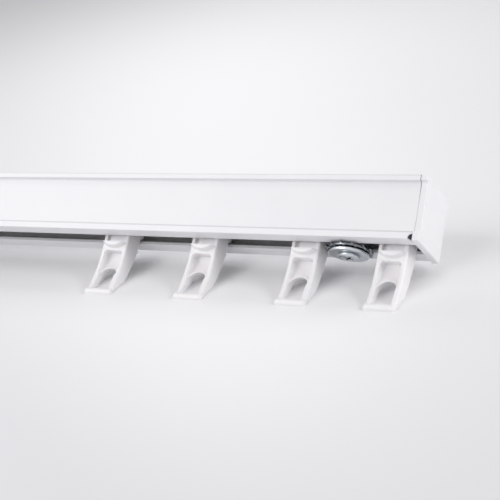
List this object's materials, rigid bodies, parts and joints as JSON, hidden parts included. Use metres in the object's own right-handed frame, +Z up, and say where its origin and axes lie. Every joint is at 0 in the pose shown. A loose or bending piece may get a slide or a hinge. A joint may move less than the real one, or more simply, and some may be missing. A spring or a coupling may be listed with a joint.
{
  "type": "curtain track",
  "caption": "White curtain track with a flat recessed fascia, end caps, tusk-shaped gliders with hook eyes running in the slot below, and a clamped zinc-plated stop.",
  "frame": {"origin": "centre of the top face, in the mouth of the bracket groove", "axes": "+X along the track to its right end, +Y back to the wall, +Z up to the ceiling"},
  "size_m": [0.3, 0.0309, 0.0627],
  "materials": {
    "powder_coat": "satin white powder coat on extruded aluminium",
    "cap_plastic": "white moulded plastic, fine satin",
    "glider_plastic": "white moulded acetal, soft sheen",
    "zinc_screw": "bright zinc plating",
    "zinc_disc": "bright zinc plating, fine turning marks",
    "spring_steel": "zinc plated spring steel, bright on the tooth edges",
    "zinc_plate": "zinc plated steel"
  },
  "bodies": {
    "track": {"track_profile": "powder_coat", "end_cap_right": "cap_plastic", "end_cap_left": "cap_plastic"},
    "stop": {"stop_screw": "zinc_screw", "stop_disc": "zinc_disc", "stop_tooth_washer": "spring_steel", "stop_nut_plate": "zinc_plate"},
    "glider_1_body": {"glider_1": "glider_plastic"},
    "glider_2_body": {"glider_2": "glider_plastic"},
    "glider_3_body": {"glider_3": "glider_plastic"},
    "glider_4_body": {"glider_4": "glider_plastic"}
  },
  "joints": [
    {"name": "glider_1_slide", "type": "slide", "parent": "track", "child": "glider_1_body", "axis": [1, 0, 0], "range_m": [-0.128, 0.0174]},
    {"name": "glider_2_slide", "type": "slide", "parent": "track", "child": "glider_2_body", "axis": [1, 0, 0], "range_m": [-0.0174, 0.0188]},
    {"name": "glider_3_slide", "type": "slide", "parent": "track", "child": "glider_3_body", "axis": [1, 0, 0], "range_m": [-0.0188, 0.0006]},
    {"name": "glider_4_slide", "type": "slide", "parent": "track", "child": "glider_4_body", "axis": [1, 0, 0], "range_m": [-0.0021, 0.0035]},
    {"name": "stop_slide", "type": "slide", "parent": "track", "child": "stop", "axis": [1, 0, 0], "range_m": [-0.0006, 0.0021]}
  ]
}
